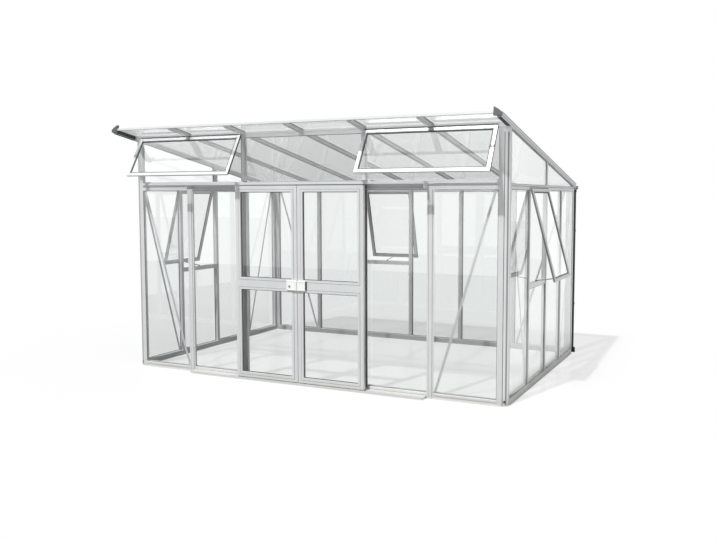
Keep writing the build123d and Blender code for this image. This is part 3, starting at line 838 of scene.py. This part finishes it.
windows = sash_places("clerestory_window_frames", lambda spot: "front")
vents = sash_places("wall_vent_frames", wall_of_vent)
sash_width = 0.0402
rebate = 0.007
seal_inset = 0.003
joint_length = 0.036
joint_inset = 0.002
hinge_radius = 0.0045
hinge_inset = 0.004
knuckles = 8
knuckle_gap = 0.0006
for group, sashes, edge_rubber, slot in (
    ("clerestory_window", windows, rubber, "black_plastic"),
    ("wall_vent", vents, grey_rubber, "grey_plastic"),
):
    width, thickness, length = sashes[0][2]
    places = [place for _, place, _ in sashes]
    inner = sash_width - rebate
    bead = ring("bead", (inner - width / 2, -0.0008, inner - length),
                (width / 2 - inner, 0.0, -inner), rebate)
    seal_runs, joints = [], []
    for place in places:
        for side in (-1, 1):
            foot = (side * width / 2, thickness / 2 + 0.001, seal_inset - length)
            strip_spot = place @ moved(foot) @ turned(side * pi / 2, "Z")
            seal_runs.append((strip_spot, length - 2 * seal_inset))
            for height in (-joint_length - joint_inset, joint_inset - length):
                joint = moved((side * (width / 2 - sash_width), 0.0, height))
                joints.append((place @ joint, joint_length))
    strips(group + "_seals", seal_runs, thickness - 0.006, 0.0025, edge_rubber, "house", slot)
    dress(repeat(group + "_beads", bead, places), grey_rubber, "house", "grey_plastic")
    strips(group + "_joints", joints, 0.0012, 0.0003, rubber, "house", "black_plastic")
    hinge = round_bar("hinge", hinge_radius, hinge_inset - width / 2, width / 2 - hinge_inset, 12)
    open_mesh(hinge)
    for knuckle in range(1, knuckles):
        middle = -width / 2 + knuckle * width / knuckles
        for edge in (middle - knuckle_gap, middle + knuckle_gap):
            cut((0.0, 0.0, edge), (0.0, 0.0, 1.0))
    close_mesh(hinge)
    hinge.rotation_euler = (0.0, pi / 2, 0.0)
    hinge.location = (0.0, 0.006, 0.005)
    hinges = repeat(group + "_hinges", fix_place(hinge), places)
    dress(hinges, black_plastic, "house", "black_plastic")

flap_runs = []
for wall, place, size in windows:
    start = along_wall(wall, place.translation) - size.x / 2
    flap_runs.append((on_wall(wall, start, place.translation.z + 0.006, 0.003) @ level, size.x))
strips("window_hinge_flaps", flap_runs, 0.014, 0.003, rubber, "house", "black_plastic")

sill_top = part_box("vent_sills")[1].z
foot_in = 0.014
foot_up = 0.006
grip_in = 0.002
grip_up = 0.018
stays, peg_places = [], []
for wall, place, size in vents:
    middle = along_wall(wall, place.translation)
    grip = place @ Vector((0.0, size.y + grip_in, grip_up - size.z))
    foot = walls[wall] @ Vector((middle, foot_in, sill_top + foot_up))
    across = walls[wall].to_3x3() @ Vector((1.0, 0.0, 0.0))
    stays.append(flat_bar("stay", foot, grip, across, 0.012, 0.003))
    peg_places.append(on_wall(wall, middle, sill_top))
dress(join("vent_stays", stays), stainless, "house", "aluminium")
peg = block("peg", (-0.012, 0.004, 0.0), (0.012, 0.026, 0.004))
open_mesh(peg)
pick_side(peg, 0, 0, 1)
bpy.ops.mesh.inset(thickness=0.006)
pull(0.0, 0.0, 0.010)
close_mesh(peg, bevel=0.001)
dress(repeat("vent_stay_pegs", peg, peg_places), black_plastic, "house", "black_plastic")

# ---- Braces -------------------------------------------------------------------------------------
# Flat diagonal bars of aluminium that keep the end bays of each wall square. A bolt through each
# end, put in from inside, holds them to the rails.
finish("wall_braces", upright_metal)


def middle_of(points):
    """Gives the mean of some points."""
    return sum(points, Vector()) / len(points)


wall_zone = 0.1
end_zone = 0.06
bolt_inset = 0.022
bolt_places = []
mesh = bmesh.new()
mesh.from_mesh(nodes["wall_braces"].data)
for verts in islands(mesh):
    middle = middle_of([vert.co for vert in verts])
    if abs(middle.x) > half_width - wall_zone:
        wall = "right" if middle.x > 0 else "left"
    else:
        wall = "front" if middle.y < half_depth else "back"
    points = [walls[wall].inverted() @ vert.co for vert in verts]
    inside = max(point.y for point in points)
    points = [point for point in points if point.y > inside - 0.001]
    heights = [point.z for point in points]
    for end in (min(heights), max(heights)):
        near = middle_of([point for point in points if abs(point.z - end) < end_zone])
        far = middle_of([point for point in points if abs(point.z - end) > end_zone])
        spot = near + (far - near).normalized() * bolt_inset
        bolt = moved((spot.x, inside, spot.z)) @ turned(pi, "Z")
        bolt_places.append(walls[wall] @ bolt)
mesh.free()
bolts = repeat("brace_bolts", screw(0.008, 0.005), bolt_places)
dress(bolts, stainless, "house", "aluminium")

# ---- Roof ---------------------------------------------------------------------------------------
# Sloping bars under the glass and clip-on caps over it, with rubber lips and screws, and heavier
# bars along both ends. Closing strips run under the end bars where the roof stands out in front.
pane_normal = max(nodes["roof_glass"].data.polygons, key=lambda face: face.area).normal
fall = abs(pane_normal.y / pane_normal.z)
slope = atan2(abs(pane_normal.y), abs(pane_normal.z))
beam_low, beam_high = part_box("head_beam")
glass_under = beam_high.z + beam_low.y * fall


def on_roof(along, back, out=0.0):
    """Gives a place on the underside of the roof glass: X along the front, Y down the slope."""
    spot = moved((along, back, glass_under - back * fall))
    return spot @ turned(-slope, "X") @ moved((0.0, 0.0, out))


roof_metal = satin_aluminium("satin_aluminium_sloping", (across_lines, along_lines, across_lines),
                             slope)
for name in ("roof_bars", "verge_bars", "roof_caps"):
    finish(name, roof_metal)
finish("roof_front_edge", level_metal)

glass_top = 0.004
cap_top = 0.008
lip_inset = 0.003
screw_inset = 0.08
screws_per_cap = 7
lip_runs, screw_places = [], []
for low, high in solids_of("roof_caps"):
    along = (low.x + high.x) / 2
    length = (high.y - low.y - 2 * lip_inset) / abs(pane_normal.z)
    for side in (-1, 1):
        edge = along + side * ((high.x - low.x) / 2 + 0.0015)
        lip_runs.append((on_roof(edge, low.y + lip_inset, glass_top) @ laid_back, length))
    spacing = (high.y - low.y - 2 * screw_inset) / (screws_per_cap - 1)
    for index in range(screws_per_cap):
        spot = on_roof(along, low.y + screw_inset + index * spacing, cap_top)
        screw_places.append(spot @ laid_back)
strips("roof_cap_lips", lip_runs, 0.003, 0.003, rubber, "house", "black_plastic")
cap_screws = repeat("roof_cap_screws", screw(0.005, 0.003), screw_places)
dress(cap_screws, stainless, "house", "aluminium")

verge_low, verge_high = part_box("verge_bars")
verge_width = 0.045
verge_under = -0.0478
flank_middle = -0.024
line_heights = (-0.0015, -0.030)
closing_from = verge_low.y + 0.012
closing_length = 0.30
line_from = verge_low.y + 0.010
line_length = (verge_high.y - verge_low.y - 0.02) / abs(pane_normal.z)
closing_runs, line_runs = [], []
for side in (-1, 1):
    under = on_roof(side * (verge_high.x - verge_width / 2), closing_from, verge_under)
    facing = turned(pi / 2, "X") @ turned(pi, "Y")
    closing_runs.append((under @ facing, closing_length))
    flank = on_roof(side * (verge_high.x - verge_width - 0.0002), closing_from, flank_middle)
    facing = laid_back @ turned(side * -pi / 2, "Z")
    closing_runs.append((flank @ facing, closing_length))
    for out in line_heights:
        facing = laid_back @ turned(side * pi / 2, "Z")
        line_runs.append((on_roof(side * verge_high.x, line_from, out) @ facing, line_length))
strips("verge_closing_strips", closing_runs, 0.040, 0.002, rubber, "house", "black_plastic")
# Thin black strips run along each verge bar's outer face, near its top and near its bottom edge.
strips("verge_edge_lines", line_runs, 0.003, 0.0006, rubber, "house", "black_plastic")
grey_plastic = plastic("dark_grey_plastic", (0.10, 0.104, 0.108), 0.5)
finish("roof_edge_caps", grey_plastic)

# ---- Doors --------------------------------------------------------------------------------------
# Two sliding leaves of aluminium tube on grey wheels in the top track. Beads clipped in over rubber
# hold their glass, a brush seals each leaf to the wall, and plates close the ends of the track.
for side in ("left", "right"):
    finish(side + "_door_frame", upright_metal)
    finish(side + "_door_runners", grey_plastic)
finish("top_track", level_metal)
bead_reach = 0.025
bead_height = 0.002
seam_reach = bead_reach + 0.0025
brush_width = 0.009
brush_back = -0.016
brush_foot = 0.05
brush_top = 2.07
for side, sign in (("left", -1), ("right", 1)):
    body = side + "_door"
    frame_low, frame_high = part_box(side + "_door_frame")
    beads, seams = [], []
    for low, high in solids_of(side + "_door_glass"):
        for face, out in ((frame_low.y, -1), (frame_high.y, 1)):
            for kind, pieces, reach, height, width in (
                ("bead", beads, bead_reach, bead_height, bead_reach - 0.001),
                ("seam", seams, seam_reach, bead_height * 0.4, 0.003),
            ):
                near, far = sorted((face, face + out * height))
                pieces.append(ring(kind, (low.x - reach, near, low.z - reach),
                                   (high.x + reach, far, high.z + reach), width))
    dress(join(side + "_door_beads", beads), upright_metal, body, "aluminium")
    dress(join(side + "_door_bead_seams", seams), rubber, body, "black_plastic")
    outer = frame_high.x if sign > 0 else frame_low.x
    near, far = sorted((outer, outer - sign * brush_width))
    brush = block(side + "_door_brush", (near, frame_high.y, brush_foot),
                  (far, brush_back, brush_top))
    open_mesh(brush)
    pick_side(brush, 0, 1, 0)
    bpy.ops.mesh.inset(thickness=0.002)
    pull(0.0, 0.003, 0.0)
    dress(close_mesh(brush), rubber, body, "black_plastic")

track_low, track_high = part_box("top_track")
plate = block("plate", (0.0, track_low.y, track_low.z), (0.004, track_high.y, track_high.z))
open_mesh(plate)
pick_side(plate, 1, 0, 0)
bpy.ops.mesh.inset(thickness=0.008)
pull(0.0025, 0.0, 0.0)
close_mesh(plate, bevel=0.0008)
right_end = moved((track_end, 0.0, 0.0))
plates = repeat("track_end_plates", plate,
                [right_end, Matrix.Scale(-1, 4, (1.0, 0.0, 0.0)) @ right_end])
open_mesh(plates)
close_mesh(plates)
dress(plates, level_metal, "house", "aluminium")

# ---- Door handles -------------------------------------------------------------------------------
# White moulded grips, screwed on at the height of the hand, with a raised rim. The right one has a
# small dark block at its end, and the left one a steel lock cylinder.
rim_inset = 0.004
rim_height = 0.0025
rim_width = 0.007
for side in ("left", "right"):
    finish(side + "_door_handle", white_plastic)
    low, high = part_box(side + "_door_handle")
    rim = ring(side + "_handle_rim", (low.x + rim_inset, low.y - rim_height, low.z + rim_inset),
               (high.x - rim_inset, low.y, high.z - rim_inset), rim_width)
    dress(rim, white_plastic, side + "_door", "white_plastic")
low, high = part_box("right_door_handle")
end_block = block("grip_end_block", (high.x, high.y - 0.014, low.z + 0.008),
              (high.x + 0.010, high.y - 0.001, high.z - 0.004))
open_mesh(end_block)
pick_side(end_block, 0, -1, 0)
pull(-0.002, -0.004, 0.0)
bpy.ops.transform.resize(value=(0.5, 1.0, 0.8))
end_block = close_mesh(end_block, bevel=0.0015, segments=2)
dress(end_block, black_plastic, "right_door", "black_plastic")
keyhole = (-0.085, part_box("left_door_handle")[0].y, 1.062)
lock = round_bar("lock_cylinder", 0.011, 0.0, 0.006, 28)
open_mesh(lock)
pick_side(lock, 0, 0, 1)
bpy.ops.mesh.inset(thickness=0.003)
pull(0.0, 0.0, -0.0015)
bpy.ops.mesh.inset(thickness=0.0045)
bpy.ops.transform.resize(value=(0.35, 1.6, 1.0))
pull(0.0, 0.0, -0.003)
close_mesh(lock)
lock.rotation_euler = (pi / 2, 0.0, 0.0)
lock.location = keyhole
dress(fix_place(lock), stainless, "left_door", "aluminium")

# ---- Gutter and downpipe ------------------------------------------------------------------------
# A folded aluminium gutter on straps along the back, with grey end caps. Its outlet lets into a
# black pipe that two clips hold to the corner post.
finish("gutter", level_metal)
finish("gutter_caps", grey_plastic)
for name in ("downpipe", "pipe_foot"):
    finish(name, black_plastic)
gutter_low, gutter_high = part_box("gutter")
strap_width = 0.024
strap_thickness = 0.002
end_strap = 2.12
strap = block("strap", (-strap_width / 2, gutter_low.y, gutter_low.z - strap_thickness),
              (strap_width / 2, gutter_high.y, gutter_low.z))
open_mesh(strap)
pick_side(strap, 0, 1, 0)
pull(0.0, strap_thickness, 0.0)
pick_faces(strap, lambda middle, normal: normal.z > 0.9 and middle.y > gutter_high.y)
pull(0.0, 0.0, gutter_high.z - gutter_low.z - 0.004)
close_mesh(strap)
strap_places = [moved((along, 0.0, 0.0))
                for along in (-end_strap, *(pitch * bar for bar in range(-2, 3)), end_strap)]
dress(repeat("gutter_straps", strap, strap_places), level_metal, "house", "aluminium")

pipe_low, pipe_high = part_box("downpipe")
pipe_middle = (pipe_low + pipe_high) / 2
pipe_radius = (pipe_high.x - pipe_low.x) / 2


def collar(name, low, high, out, flange):
    """Models a ring that closes round the downpipe, with a lip round both ends."""
    piece = round_bar(name, pipe_radius + out, low, high, 32)
    open_mesh(piece)
    pick_faces(piece, lambda middle, normal: abs(normal.z) > 0.9)
    bpy.ops.mesh.inset(thickness=out - 0.0002)
    bpy.ops.mesh.delete(type="FACE")
    bridge_rims()
    for edge in (low + flange, high - flange):
        cut((0.0, 0.0, edge), (0.0, 0.0, 1.0))
    pick_faces(piece, lambda middle, normal: (
        abs(normal.z) < 0.2 and middle.xy.length > pipe_radius + out * 0.6
        and not low + flange < middle.z < high - flange))
    bpy.ops.transform.resize(value=(1.05, 1.05, 1.0))
    close_mesh(piece)
    piece.location = (pipe_middle.x, pipe_middle.y, 0.0)
    return fix_place(piece)


outlet_length = 0.035
outlet = collar("pipe_outlet", pipe_high.z - outlet_length, pipe_high.z - 0.0005, 0.004, 0.006)
dress(outlet, black_plastic, "house", "black_plastic")
clip_places = (0.62, 1.56)
clip_height = 0.022
stem_inset = 0.003
clips = []
for height in clip_places:
    clips.append(collar("clip", height, height + clip_height, 0.003, 0.004))
    stem = block("stem", (pipe_middle.x - 0.008, depth, height + stem_inset),
                 (pipe_middle.x + 0.008, pipe_low.y - 0.002, height + clip_height - stem_inset))
    open_mesh(stem)
    pick_side(stem, 0, -1, 0)
    pull(0.0, 0.001, 0.0)
    bpy.ops.transform.resize(value=(1.6, 1.0, 1.5))
    clips.append(close_mesh(stem, bevel=0.001))
dress(join("pipe_clips", clips), black_plastic, "house", "black_plastic")
